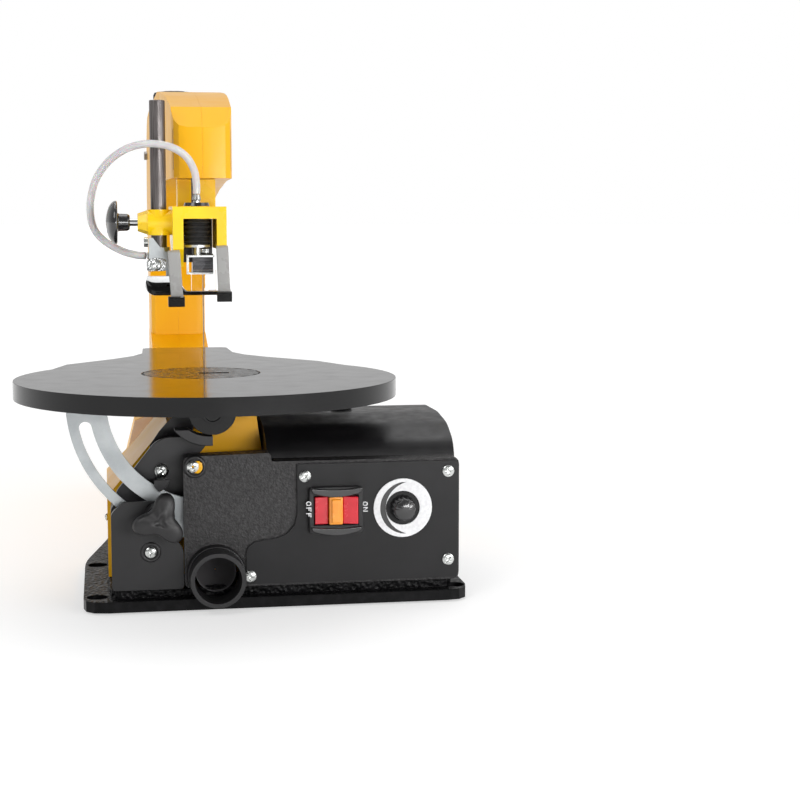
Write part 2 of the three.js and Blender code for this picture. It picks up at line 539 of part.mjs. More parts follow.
// ---- switch panel, dial, rear knob --------------------------------------------------------------
function addPanel() {
  const f = FRONT - GAP;
  const s = SWITCH;
  let panel = alongY([[56.4, 95], [165, 95], [165, 15.6], [22.4, 15.6], [22.4, 37], [24, 41],
    [28.4, 44], [43, 46], [49.9, 49], [54.6, 54.5], [56.4, 62]], f - 1.6, f);
  panel = panel.subtract(box(s.x0 + 3, s.x1 - 3, -80, -60, s.z0 + 5, s.z1 - 5))
    .subtract(cylinder("y", 4, -80, -60, [DIAL.x, DIAL.z], 20));
  add("switch_panel", "black_plastic", panel);
  const front = f - 1.6 - GAP;
  const bezel = alongY(rounded([[s.x0, s.z0], [s.x1, s.z0], [s.x1, s.z1], [s.x0, s.z1]], 3),
    front - 4, front)
    .subtract(box(s.x0 + 3.2, s.x1 - 3.2, -90, -60, s.z0 + 6, s.z1 - 6));
  add("switch_bezel", "black_plastic", bezel);
  const rocker = alongZ([[s.x0 + 3.8, front - 4.6], [(s.x0 + s.x1) / 2, front - 3.4],
    [s.x1 - 3.8, front - 7.4], [s.x1 - 3.8, front - 1.2], [s.x0 + 3.8, front - 1.2]],
    s.z0 + 6.6, s.z1 - 6.6)
    .subtract(box(KEY.x0 - 0.4, KEY.x1 + 0.4, -90, front - 1.9, 0, 200));
  add("power_rocker", "red", rocker);
  add("safety_key", "orange", box(KEY.x0, KEY.x1, front - 7.2, front - 2.2, s.z0 + 6.6,
    s.z1 - 6.6).add(box(KEY.x0 + 1.5, KEY.x1 - 1.5, front - 9, front - 7, s.z0 + 8, s.z1 - 8)));
  const at = [DIAL.x, DIAL.z];
  add("dial_ring", "white", cylinder("y", DIAL.r, front - 1, front, at, 40)
    .subtract(cylinder("y", 11.5, -90, -60, at, 32)));
  add("speed_knob", "black_plastic", cylinder("y", 9.4, front - 13, front - 1, at, 28, 10.8)
    .add(cylinder("y", 3.4, front - 1.5, f, at, 18))
    .add(box(at[0] - 1.3, at[0] + 1.3, front - 14.6, front - 12.5, at[1] - 9, at[1] + 9)));
}

const TENSION = { y: 432, z: 358 };

function addTension() {
  const at = [0, TENSION.y];
  const { z } = TENSION;
  const grips = arcPoints(0, TENSION.y, 15, 0, 300, 5).map((p) => cylinder("z", 4, z, z + 12, p, 14));
  const knob = cylinder("z", 13.5, z, z + 13, at, 30, 12).add(cylinder("z", 3.4, 342, z + 1, at, 18));
  add("tension_knob", "black_plastic", grips.reduce((solid, grip) => solid.add(grip), knob));
}

function addInlet() {
  const [x, y, z] = [112, 110.3, 46];
  const body = box(x - 15, x + 15, y, y + 9, z - 11, z + 11)
    .subtract(box(x - 11, x + 11, y + 2, y + 10, z - 7.5, z + 7.5));
  const pins = [-6, 0, 6].map((dx) => box(x + dx - 1, x + dx + 1, y + 1, y + 7,
    z + (dx ? -3 : 1), z + (dx ? 1 : 5)));
  add("power_inlet", "black_plastic", pins.reduce((solid, pin) => solid.add(pin), body));
}

// ---- air hose ------------------------------------------------------------------------------------
const HOSE_R = 2.5;
const HOSE = [
  [-5, -26, 272.3], [-5, -26.3, 279], [-6.5, -28, 288], [-12, -31, 297], [-22, -33.5, 303],
  [-36, -33, 305], [-50, -28, 302], [-62, -20, 294], [-70.5, -12.5, 282.5], [-74.5, -7, 269],
  [-74.8, -4, 258], [-73, -3, 249.8], [-68.8, -4, 243.6], [-62, -8, 238.2], [-53.5, -15, 234],
  [-45.5, -20.5, 231.9], [-39.1, -23, 231.4],
];

function build() {
  addBase();
  addFrame();
  addCovers();
  addTrunnion();
  addLock();
  addMotor();
  addArms();
  addBlade();
  addHead();
  addFoot();
  addFootClamp();
  addTable();
  addPanel();
  addTension();
  addInlet();
  add("air_hose", "clear", tube(HOSE, HOSE_R, 60));
  const bounds = new THREE.Box3().setFromObject(saw);
  const centre = bounds.getCenter(new THREE.Vector3());
  saw.children.forEach((mesh) => mesh.geometry.translate(-centre.x, -centre.y, 0));
  saw.userData.shift = [-centre.x, -centre.y];
}

build();
export default saw;
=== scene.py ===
"""Bench scroll saw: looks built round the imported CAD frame. Metres, +Z up, operator towards -Y."""
import math

import bmesh
import bpy
from mathutils import Matrix, Vector


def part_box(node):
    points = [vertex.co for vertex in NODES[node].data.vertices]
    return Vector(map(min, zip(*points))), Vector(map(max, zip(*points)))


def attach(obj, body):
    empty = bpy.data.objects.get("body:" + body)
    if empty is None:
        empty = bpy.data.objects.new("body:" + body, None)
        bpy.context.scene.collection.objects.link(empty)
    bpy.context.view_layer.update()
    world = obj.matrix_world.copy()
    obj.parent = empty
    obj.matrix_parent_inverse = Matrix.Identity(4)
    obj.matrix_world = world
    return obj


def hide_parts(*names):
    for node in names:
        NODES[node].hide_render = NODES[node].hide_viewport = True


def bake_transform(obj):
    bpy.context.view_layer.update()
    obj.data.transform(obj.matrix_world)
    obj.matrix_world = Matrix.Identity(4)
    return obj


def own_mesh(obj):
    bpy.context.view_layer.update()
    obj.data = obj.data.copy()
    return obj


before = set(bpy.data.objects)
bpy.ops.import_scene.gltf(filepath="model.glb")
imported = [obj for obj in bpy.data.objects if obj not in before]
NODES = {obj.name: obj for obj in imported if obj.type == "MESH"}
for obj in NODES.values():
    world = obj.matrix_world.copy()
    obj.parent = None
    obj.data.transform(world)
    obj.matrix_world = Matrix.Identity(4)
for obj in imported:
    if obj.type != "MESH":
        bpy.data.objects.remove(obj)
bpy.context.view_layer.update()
MM = 0.001

# ---- where things are, worked out from the frame -------------------------------------------------
TEETH = 1.9 * MM                 # from the tips of the blade's teeth back to the blade's own line
BLADE_LO, BLADE_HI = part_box("blade")
BLADE_X = (BLADE_LO.x + BLADE_HI.x) / 2
BLADE_Y = BLADE_LO.y + TEETH
COVER_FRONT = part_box("front_cover")[0].y
PANEL_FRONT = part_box("switch_panel")[0].y
UP, FORWARD, LEFTWARD = (0, 0, 1), (0, -1, 0), (-1, 0, 0)


def at_saw(x, y, z):
    """A point given in millimetres from the blade, on the bench."""
    return Vector((BLADE_X + x * MM, BLADE_Y + y * MM, z * MM))


def middle_of(node):
    lo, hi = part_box(node)
    return (lo + hi) / 2


# ---- camera --------------------------------------------------------------------------------------
SENSOR_WIDTH, LENS = 36, 76.05
CAMERA_AT = (-66.4, -1166.2, 261.2)      # millimetres from the blade, on the bench
CAMERA_YAW, CAMERA_PITCH = 9.9, 6.39     # degrees to the right of straight back, and down


def add_camera():
    data = bpy.data.cameras.new("camera")
    data.sensor_width, data.lens = SENSOR_WIDTH, LENS
    data.clip_start, data.clip_end = 0.05, 30
    camera = bpy.data.objects.new("camera", data)
    bpy.context.scene.collection.objects.link(camera)
    camera.location = at_saw(*CAMERA_AT)
    camera.rotation_euler = (math.radians(90) - math.radians(CAMERA_PITCH), 0,
                             -math.radians(CAMERA_YAW))
    bpy.context.scene.camera = camera


add_camera()


# ---- meshes --------------------------------------------------------------------------------------
def mesh_object(name, bm, smooth=True):
    bmesh.ops.remove_doubles(bm, verts=bm.verts, dist=1e-7)
    bmesh.ops.recalc_face_normals(bm, faces=bm.faces)
    mesh = bpy.data.meshes.new(name)
    bm.to_mesh(mesh)
    bm.free()
    for face in mesh.polygons:
        face.use_smooth = smooth
    obj = bpy.data.objects.new(name, mesh)
    bpy.context.scene.collection.objects.link(obj)
    return obj


def turns(count):
    """The angles of so many even steps round a circle."""
    return [2 * math.pi * k / count for k in range(count)]


def skin(bm, rings, closed=False):
    """Faces from each ring of vertices to the next, and back to the first when closed."""
    for a, b in zip(rings, rings[1:] + rings[:1] if closed else rings[1:]):
        for k in range(len(a)):
            n = (k + 1) % len(a)
            bm.faces.new((a[k], a[n], b[n], b[k]))


def prism(bm, near, far):
    """A solid between two flat outlines that have as many points as each other."""
    low = [bm.verts.new(p) for p in near]
    high = [bm.verts.new(p) for p in far]
    bm.faces.new(low)
    bm.faces.new(high)
    skin(bm, [low, high])


def facing(normal, turn=0.0):
    """A rotation that takes +Z to the normal, turned about it."""
    aim = Vector(normal).to_track_quat("Z", "Y").to_matrix().to_4x4()
    return aim @ Matrix.Rotation(turn, 4, "Z")


def slab(name, outline, depth, place, turn=0.0):
    """A flat outline in mm given some depth towards the operator, its back on the place."""
    bm = bmesh.new()
    prism(bm, *([(x * MM, y * MM, z * MM) for x, y in outline] for z in (0, depth)))
    bm.transform(Matrix.Translation(place) @ facing(FORWARD, turn))
    return mesh_object(name, bm, smooth=False)


def lathe(name, profile, place, normal, sides=48, closed=False, lobes=0, depth=0.0, sharpness=1.0,
          turn=0.0):
    """A (radius, height) profile in mm turned about the normal; lobes swell it in and out."""
    bm = bmesh.new()
    rings = []
    for r, h in profile:
        ring = []
        for a in turns(sides):
            wave = (0.5 + 0.5 * math.cos(lobes * a)) ** sharpness if lobes else 1
            reach = r * (1 - depth * (1 - wave))
            ring.append(bm.verts.new((reach * math.cos(a) * MM, reach * math.sin(a) * MM, h * MM)))
        rings.append(ring)
    skin(bm, rings, closed)
    if not closed:
        bm.faces.new(rings[0])
        bm.faces.new(rings[-1])
    bm.transform(Matrix.Translation(place) @ facing(normal, turn))
    return mesh_object(name, bm)


def tube(name, line, radius, bore, sides=20):
    """A hollow tube along a line."""
    bm = bmesh.new()
    tangent = (line[1] - line[0]).normalized()
    side = tangent.orthogonal().normalized()
    outer, inner = [], []
    for i, p in enumerate(line):
        ahead, behind = line[min(i + 1, len(line) - 1)], line[max(i - 1, 0)]
        new = (ahead - behind).normalized()
        side = (tangent.rotation_difference(new) @ side).normalized()
        tangent = new
        other = tangent.cross(side)
        for rings, r in ((outer, radius), (inner, bore)):
            rings.append([bm.verts.new(p + r * (side * math.cos(a) + other * math.sin(a)))
                          for a in turns(sides)])
    skin(bm, outer)
    skin(bm, inner)
    for end in (0, -1):
        skin(bm, [outer[end], inner[end]])
    return mesh_object(name, bm)


def sheet(bm, rows, thick):
    """A bent plate: the rows of points are one face, the other lies so far behind it."""
    count, wide = len(rows), len(rows[0])
    near, far = [], []
    for i, row in enumerate(rows):
        a, b = [], []
        for j, p in enumerate(row):
            along = rows[min(i + 1, count - 1)][j] - rows[max(i - 1, 0)][j]
            across = row[min(j + 1, wide - 1)] - row[max(j - 1, 0)]
            a.append(bm.verts.new(p))
            b.append(bm.verts.new(p + along.cross(across).normalized() * thick))
        near.append(a)
        far.append(b)
    for i in range(count - 1):
        for j in range(wide - 1):
            bm.faces.new((near[i][j], near[i + 1][j], near[i + 1][j + 1], near[i][j + 1]))
            bm.faces.new((far[i][j], far[i][j + 1], far[i + 1][j + 1], far[i + 1][j]))
    border = ([(i, 0) for i in range(count)] + [(count - 1, j) for j in range(1, wide)]
              + [(i, wide - 1) for i in range(count - 2, -1, -1)]
              + [(0, j) for j in range(wide - 2, 0, -1)])
    for (i, j), (m, n) in zip(border, border[1:] + border[:1]):
        bm.faces.new((near[i][j], near[m][n], far[m][n], far[i][j]))


def break_edges(obj, width, segments, angle):
    """Rounds the edges that are sharper than the angle, in degrees."""
    bevel = obj.modifiers.new("edge", "BEVEL")
    bevel.width, bevel.segments = width, segments
    bevel.limit_method, bevel.angle_limit = "ANGLE", math.radians(angle)
    bevel.harden_normals = bevel.use_clamp_overlap = True


# ---- air hose ------------------------------------------------------------------------------------
HOSE_R, HOSE_BORE = 2.5 * MM, 1.6 * MM
ROUTE_STEPS = 8                  # of the curve, from one point of the route to the next
HOSE_ROUTE = [at_saw(*p) for p in [
    (-5, -26, 272.3), (-5, -26.3, 279), (-6.5, -28, 288), (-12, -31, 297), (-22, -33.5, 303),
    (-36, -33, 305), (-50, -28, 302), (-62, -20, 294), (-70.5, -12.5, 282.5), (-74.5, -7, 269),
    (-74.8, -4, 258), (-73, -3, 249.8), (-68.8, -4, 243.6), (-62, -8, 238.2), (-53.5, -15, 234),
    (-45.5, -20.5, 231.9), (-39.1, -23, 231.4),
]]


def smooth_route(points):
    """The Catmull-Rom curve through the points, close enough together to run a tube along."""
    ends = [points[0] * 2 - points[1], *points, points[-1] * 2 - points[-2]]
    out = []
    for a, b, c, d in zip(ends, ends[1:], ends[2:], ends[3:]):
        for k in range(ROUTE_STEPS):
            t = k / ROUTE_STEPS
            out.append(0.5 * (2 * b + (c - a) * t + (2 * a - 5 * b + 4 * c - d) * t * t
                              + (3 * b - a - 3 * c + d) * t ** 3))
    return [*out, points[-1].copy()]


HOSE_LINE = smooth_route(HOSE_ROUTE)
hose = tube("clear_air_hose", HOSE_LINE, HOSE_R, HOSE_BORE)
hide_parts("air_hose")
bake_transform(hose)


# ---- materials -----------------------------------------------------------------------------------
def srgb(r, g, b):
    """A colour as its 0-255 screen values."""
    def lin(c):
        c /= 255
        return c / 12.92 if c <= 0.04045 else ((c + 0.055) / 1.055) ** 2.4
    return lin(r), lin(g), lin(b), 1.0


class Finish:
    """A Principled material with helpers for procedural detail in object coordinates."""

    def __init__(self, name, color, rough, metal=0.0, coat=0.0, coat_rough=0.03, **sockets):
        self.mat = bpy.data.materials.new(name)
        self.mat.use_nodes = True
        self.tree = self.mat.node_tree
        self.shader = self.tree.nodes["Principled BSDF"]
        inputs = self.shader.inputs
        inputs["Base Color"].default_value = color
        inputs["Roughness"].default_value = rough
        inputs["Metallic"].default_value = metal
        inputs["Coat Weight"].default_value = coat
        inputs["Coat Roughness"].default_value = coat_rough
        for key, value in sockets.items():
            inputs[key.replace("_", " ")].default_value = value
        self.color, self.rough = color, rough
        self.coords = self.tree.nodes.new("ShaderNodeTexCoord")
        self.height = None

    def node(self, kind, **values):
        """A new node; each value goes to the socket of that name, or else to the property."""
        made = self.tree.nodes.new(kind)
        for key, value in values.items():
            if key in made.inputs:
                made.inputs[key].default_value = value
            else:
                setattr(made, key, value)
        return made

    def wire(self, a, b):
        self.tree.links.new(a, b)

    def scaled(self, stretch=(1, 1, 1)):
        mapping = self.node("ShaderNodeMapping", Scale=stretch)
        self.wire(self.coords.outputs["Object"], mapping.inputs["Vector"])
        return mapping.outputs["Vector"]

    def noise(self, scale, detail, stretch=(1, 1, 1)):
        tex = self.node("ShaderNodeTexNoise", Scale=scale, Detail=detail)
        self.wire(self.scaled(stretch), tex.inputs["Vector"])
        return tex.outputs["Fac"]

    def cells(self, scale, feature="F1"):
        tex = self.node("ShaderNodeTexVoronoi", Scale=scale, feature=feature)
        self.wire(self.scaled(), tex.inputs["Vector"])
        return tex

    def remap(self, source, lo, hi, out_lo, out_hi):
        node = self.node("ShaderNodeMapRange",
                         **{"From Min": lo, "From Max": hi, "To Min": out_lo, "To Max": out_hi})
        self.wire(source, node.inputs["Value"])
        return node.outputs["Result"]

    def tint(self, source, lo, hi, second):
        """Base colour shifts to a second colour as the source goes from lo to hi."""
        mix = self.node("ShaderNodeMix", data_type="RGBA")
        self.wire(self.remap(source, lo, hi, 0, 1), mix.inputs["Factor"])
        color_sockets = [s for s in mix.inputs if s.type == "RGBA"]
        color_sockets[0].default_value = self.color
        color_sockets[1].default_value = second
        out = [s for s in mix.outputs if s.type == "RGBA"][0]
        self.wire(out, self.shader.inputs["Base Color"])
        return self

    def uneven_gloss(self, scale, spread):
        """Roughness drifts by plus or minus spread."""
        drift = self.remap(self.noise(scale, 4), 0.3, 0.7,
                           max(self.rough - spread, 0.01), self.rough + spread)
        self.wire(drift, self.shader.inputs["Roughness"])
        return self

    def bump(self, source, strength, distance, coat=False):
        """Raises the surface by the source, on top of earlier bumps; distance is in metres."""
        node = self.node("ShaderNodeBump", Strength=strength, Distance=distance)
        self.wire(source, node.inputs["Height"])
        if self.height is not None:
            self.wire(self.height, node.inputs["Normal"])
        self.height = node.outputs["Normal"]
        self.wire(self.height, self.shader.inputs["Normal"])
        if coat:
            self.wire(self.height, self.shader.inputs["Coat Normal"])
        return self


def yellow_enamel():
    f = Finish("yellow_enamel", srgb(238, 176, 0), 0.38, coat=0.12, coat_rough=0.1,
               Specular_IOR_Level=0.3)
    f.tint(f.noise(9, 4), 0.35, 0.75, srgb(236, 168, 4)).uneven_gloss(40, 0.06)
    return f.bump(f.noise(700, 2), 0.25, 0.00012, coat=True).bump(f.noise(60, 2), 0.2, 0.0004)


def head_enamel():
    f = Finish("head_enamel", srgb(252, 212, 14), 0.3, coat=0.3, coat_rough=0.06,
               Specular_IOR_Level=0.35)
    f.tint(f.noise(30, 3), 0.4, 0.8, srgb(246, 190, 8)).uneven_gloss(90, 0.06)
    return f.bump(f.noise(900, 2), 0.25, 0.0001, coat=True)


def table_enamel():
    f = Finish("table_enamel", srgb(8, 8, 9), 0.13, Specular_IOR_Level=0.3)
    f.tint(f.noise(25, 4), 0.4, 0.8, srgb(15, 14, 15)).uneven_gloss(60, 0.03)
    return f.bump(f.noise(240, 3), 0.12, 0.00008, coat=True)


def insert_enamel():
    f = Finish("insert_enamel", srgb(12, 12, 13), 0.26, Specular_IOR_Level=0.2)
    f.tint(f.noise(120, 4), 0.4, 0.8, srgb(26, 25, 26)).uneven_gloss(220, 0.08)
    return f.bump(f.noise(180, 3), 0.3, 0.0002)


RIM_TOP = 8.0 * MM               # the base plate is smooth up to here and wrinkled above


def crinkle_enamel():
    """Smooth on the rim, wrinkled on the raised middle."""
    f = Finish("crinkle_enamel", srgb(7, 7, 8), 0.38, Specular_IOR_Level=0.12, coat=0.03,
               coat_rough=0.14)
    split = f.node("ShaderNodeSeparateXYZ")
    f.wire(f.coords.outputs["Object"], split.inputs[0])
    raised = f.remap(split.outputs["Z"], RIM_TOP, RIM_TOP + 0.4 * MM, 0, 1)
    grain = f.cells(420, feature="SMOOTH_F1").outputs["Distance"]
    product = f.node("ShaderNodeMath", operation="MULTIPLY")
    f.wire(grain, product.inputs[0])
    f.wire(raised, product.inputs[1])
    f.tint(f.noise(160, 4), 0.45, 0.7, srgb(20, 19, 21)).uneven_gloss(120, 0.08)
    return f.bump(product.outputs[0], 1.0, 0.0016).bump(f.noise(500, 3), 0.2, 0.0001)


def textured_plastic():
    f = Finish("textured_plastic", srgb(24, 22, 23), 0.5)
    f.tint(f.noise(520, 5), 0.4, 0.72, srgb(48, 46, 47)).uneven_gloss(300, 0.12)
    return f.bump(f.noise(620, 5), 0.8, 0.0006).bump(f.cells(900).outputs["Distance"], 0.35, 0.0003)


def satin_plastic(name="satin_plastic", color=(17, 16, 18), rough=0.42, **sockets):
    f = Finish(name, srgb(*color), rough, **sockets)
    paler = [c + 8 for c in color]
    f.tint(f.noise(40, 4), 0.4, 0.8, srgb(*paler)).uneven_gloss(120, 0.07)
    return f.bump(f.noise(1500, 3), 0.25, 0.00008)


def gloss_black():
    f = Finish("gloss_black", srgb(30, 30, 31), 0.2, coat=0.8, coat_rough=0.06)
    f.tint(f.noise(80, 3), 0.45, 0.8, srgb(42, 41, 42)).uneven_gloss(200, 0.05)
    return f.bump(f.noise(1100, 2), 0.15, 0.00006)


def rubber():
    f = Finish("rubber", srgb(30, 30, 30), 0.75)
    f.tint(f.noise(300, 4), 0.4, 0.8, srgb(44, 44, 44)).uneven_gloss(400, 0.1)
    return f.bump(f.noise(1800, 3), 0.4, 0.00012)


def galvanised():
    """Zinc plate: fine spangle of slightly different grey and gloss."""
    f = Finish("galvanised", srgb(168, 172, 174), 0.42, metal=0.8)
    f.tint(f.noise(60, 5), 0.35, 0.75, srgb(190, 194, 195))
    spangle = f.cells(1400).outputs["Color"]
    tone = f.node("ShaderNodeSeparateColor")
    f.wire(spangle, tone.inputs[0])
    f.wire(f.remap(tone.outputs[1], 0, 1, 0.36, 0.5), f.shader.inputs["Roughness"])
    return f.bump(f.noise(1100, 4), 0.25, 0.00006).bump(f.noise(90, 3), 0.1, 0.0002)


def zinc_screw():
    f = Finish("zinc_screw", srgb(214, 216, 214), 0.24, metal=1.0)
    f.tint(f.noise(900, 3), 0.4, 0.7, srgb(180, 182, 180)).uneven_gloss(900, 0.1)
    return f.bump(f.noise(2500, 2), 0.25, 0.00004)


def ground_steel(name="ground_steel", color=(138, 138, 138), rough=0.3, stretch=(1, 1, 0.03)):
    f = Finish(name, srgb(*color), rough, metal=1.0)
    lines = f.noise(2200, 3, stretch)
    paler = [c + 34 for c in color]
    f.tint(lines, 0.4, 0.65, srgb(*[min(c, 255) for c in paler])).uneven_gloss(90, 0.08)
    return f.bump(lines, 0.3, 0.00003)


def chrome():
    f = Finish("chrome_plate", srgb(214, 216, 217), 0.06, metal=1.0)
    f.tint(f.noise(300, 3), 0.5, 0.8, srgb(196, 198, 200)).uneven_gloss(160, 0.035)
    return f.bump(f.noise(120, 2), 0.06, 0.0001)


def crumpled_chrome():
    f = Finish("crumpled_chrome", srgb(206, 208, 208), 0.12, metal=1.0)
    f.tint(f.noise(420, 3), 0.45, 0.75, srgb(96, 98, 96)).uneven_gloss(260, 0.06)
    return f.bump(f.noise(330, 3), 1.0, 0.0016)


def cast_alloy():
    f = Finish("cast_alloy", srgb(150, 152, 153), 0.48, metal=0.9)
    f.tint(f.noise(200, 4), 0.4, 0.7, srgb(122, 124, 125)).uneven_gloss(260, 0.12)
    return f.bump(f.noise(900, 5), 0.5, 0.0002)


def clear_plastic():
    f = Finish("clear_plastic", srgb(250, 250, 250), 0.03, Transmission_Weight=1.0, IOR=1.2)
    f.tint(f.noise(120, 3), 0.4, 0.8, srgb(240, 242, 241)).uneven_gloss(200, 0.02)
    return f.bump(f.noise(500, 2), 0.1, 0.00005)


def hose_vinyl():
    """Milky clear vinyl: light passes through the wall but the bore shows only as a paler line."""
    f = Finish("hose_vinyl", srgb(226, 222, 223), 0.22, coat=0.5, coat_rough=0.08,
               Transmission_Weight=0.25, IOR=1.2, Subsurface_Weight=0.3)
    f.shader.inputs["Subsurface Scale"].default_value = 0.003
    f.tint(f.noise(90, 3), 0.4, 0.8, srgb(214, 208, 210)).uneven_gloss(200, 0.05)
    return f.bump(f.noise(300, 2), 0.1, 0.00006)


def gloss_plastic(name, color, shade):
    f = Finish(name, srgb(*color), 0.24, coat=0.4, coat_rough=0.05)
    f.tint(f.noise(140, 3), 0.35, 0.8, srgb(*shade)).uneven_gloss(260, 0.05)
    return f.bump(f.noise(900, 3), 0.15, 0.00008)


def print_white():
    f = Finish("print_white", srgb(232, 232, 233), 0.45)
    f.tint(f.noise(500, 3), 0.4, 0.75, srgb(216, 216, 218)).uneven_gloss(300, 0.08)
    return f.bump(f.noise(1400, 3), 0.2, 0.00005)


MATS = {key: make().mat for key, make in {
    "yellow": yellow_enamel, "head": head_enamel, "table": table_enamel, "insert": insert_enamel,
    "base": crinkle_enamel, "textured": textured_plastic, "satin": satin_plastic,
    "gloss": gloss_black, "rubber": rubber, "zinc": galvanised, "screw": zinc_screw,
    "steel": ground_steel, "chrome": chrome, "clip": crumpled_chrome, "alloy": cast_alloy,
    "clear": clear_plastic, "hose": hose_vinyl, "white": print_white,
    "lock": lambda: satin_plastic("lock_plastic", (27, 26, 27), 0.44),
    "panel": lambda: satin_plastic("panel_enamel", (12, 11, 13), 0.42, Specular_IOR_Level=0.35),
    "bracket": lambda: satin_plastic("bracket_enamel", (30, 29, 31), 0.34),
    "red": lambda: gloss_plastic("red_plastic", (214, 30, 48), (200, 22, 40)),
    "orange": lambda: gloss_plastic("orange_plastic", (244, 158, 52), (236, 140, 36)),
    "rod": lambda: ground_steel("rod_steel", (94, 89, 88), 0.42, (1, 1, 0.02)),
    "clamp": lambda: ground_steel("clamp_steel", (64, 64, 66), 0.24, (0.03, 1, 1)),
    "cap": lambda: satin_plastic("cap_plastic", (4, 4, 4), 0.25, Specular_IOR_Level=0.2),
    "plate": lambda: ground_steel("plate_steel", (196, 198, 198), 0.36, (1, 1, 1)),
    # cream over yellow paint: a painted highlight standing for glare on the shoulder
    "glare_cream": lambda: gloss_plastic("painted_glare_cream", (226, 206, 188), (232, 216, 200)),
    "prong": lambda: satin_plastic("prong_enamel", (150, 149, 147), 0.3),
    # a grey standing for shade inside the hood window and the dust outlet: painted shade
    "shade_grey": lambda: satin_plastic("painted_shade_grey", (70, 68, 70), 0.6),
}.items()}
hose.data.materials.append(MATS["hose"])


# ---- CAD nodes: soft edges and their finish ------------------------------------------------------
def dress(node, material, edge):
    """Gives a CAD node its material and breaks its edges by so many millimetres."""
    obj = NODES[node]
    mesh = obj.data
    mesh.materials.clear()
    mesh.materials.append(MATS[material])
    normals = mesh.attributes.get("custom_normal")
    if normals:
        mesh.attributes.remove(normals)
    for face in mesh.polygons:
        face.use_smooth = True
        face.material_index = 0
    weld = obj.modifiers.new("weld", "WELD")
    weld.merge_threshold = 0.01 * MM
    flat = obj.modifiers.new("flat", "DECIMATE")
    flat.decimate_type = "DISSOLVE"
    flat.angle_limit = math.radians(0.5)
    if edge:
        break_edges(obj, edge * MM, segments=3, angle=28)
    soft = obj.modifiers.new("normals", "WEIGHTED_NORMAL")
    soft.keep_sharp = True
    soft.weight = 80


# material: {CAD node: how far its edges are broken, in millimetres}
DRESSED = {
    "yellow": {"frame_half_left": 1.2, "frame_half_right": 1.2},
    "head": {"head_casting": 0.8},
    # hood_back in this grey is painted shade for the shaded inside of the hood window
    "shade_grey": {"hood_back": 0.2},
    "base": {"base_plate": 1.6},
    "table": {"table_top": 1.4},
    "insert": {"table_insert": 0.35},
    "textured": {"front_cover": 1.2},
    "satin": {"left_cover": 1.0, "motor_cover": 1.6, "dust_port": 0.8,
              "switch_bezel": 1.0, "speed_knob": 0.7, "power_inlet": 0.6, "tension_knob": 0.8},
    "panel": {"switch_panel": 0.4},
    "lock": {"lock_plate": 1.6, "tilt_lock_knob": 1.0},
    "prong": {"guard_prong_left": 0.5, "guard_prong_right": 0.5},
    "gloss": {"foot_clamp_knob": 0.6, "pump_washer": 0.3},
    "bracket": {"trunnion_bracket": 0.8, "tilt_pointer": 0.4, "rear_trunnion_seat": 0.6},
    "rubber": {"rubber_foot_front_left": 0.6, "rubber_foot_front_right": 0.6,
               "rubber_foot_rear_left": 0.6, "rubber_foot_rear_right": 0.6,
               "motor_cover_cap": 0.8, "pump_bellows": 0.3},
    "zinc": {"tilt_arc": 0.4, "foot_bracket": 0.3},
    "screw": {"bracket_screw": 0.3, "tilt_lock_stud": 0.3, "clamp_nut": 0.4, "hose_barb": 0.2,
              "foot_side_screw": 0.3, "air_nozzle": 0.3, "nozzle_screw": 0.3},
    "steel": {"upper_pivot_pin": 0.4, "lower_pivot_pin": 0.4, "motor_rotor": 0.4, "blade": 0},
    "plate": {"pump_bracket": 0.25},
    "clamp": {"upper_blade_clamp": 0.5, "lower_blade_clamp": 0.5},
    "rod": {"foot_rod": 0.6},
    "chrome": {"work_foot": 0.3, "foot_clamp_stud": 0.3},
    "alloy": {"motor_stator": 0.8, "pitman": 0.4, "upper_arm": 0.8, "lower_arm": 0.8},
    "clear": {"blade_guard": 0.25},
    "red": {"power_rocker": 0.6},
    "orange": {"safety_key": 0.7},
    "white": {"dial_ring": 0.2},
}
for material, nodes in DRESSED.items():
    for node, edge in nodes.items():
        dress(node, material, edge)


# ---- pieces built here ---------------------------------------------------------------------------
def finish_piece(obj, material, slot, body, *nodes, edge=0.0):
    """Material, a slot that is not used, body and the CAD nodes it stands for; edge is in
    millimetres.
    """
    obj.data.materials.append(MATS[material])
    if edge:
        break_edges(obj, edge * MM, segments=3, angle=32)
    if nodes:
        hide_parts(*nodes)
    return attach(obj, body)


def on_face(x, z, y):
    """A point so many millimetres across and up from the blade, at a depth in metres."""
    spot = at_saw(x, 0, z)
    spot.y = y
    return spot


# ---- fasteners -----------------------------------------------------------------------------------
# a pan head's proportions, as shares of its radius
CROSS_HALF, CROSS_REACH = 0.11, 0.6      # half the width and the length of the recess's arms
CROSS_DEPTH, CROSS_TAPER = 0.42, 0.35    # the recess, and how much shallower its ends are
CROWN, CROWN_POWER = 0.42, 1.6           # how far and how steeply the head falls to its rim
SKIRT, SKIRT_FLARE = 0.12, 1.01
HALF_LINES = [0, 0.06, CROSS_HALF, 0.16, 0.34, 0.5, CROSS_REACH, 0.67, 0.8, 0.9, 0.96, 1]


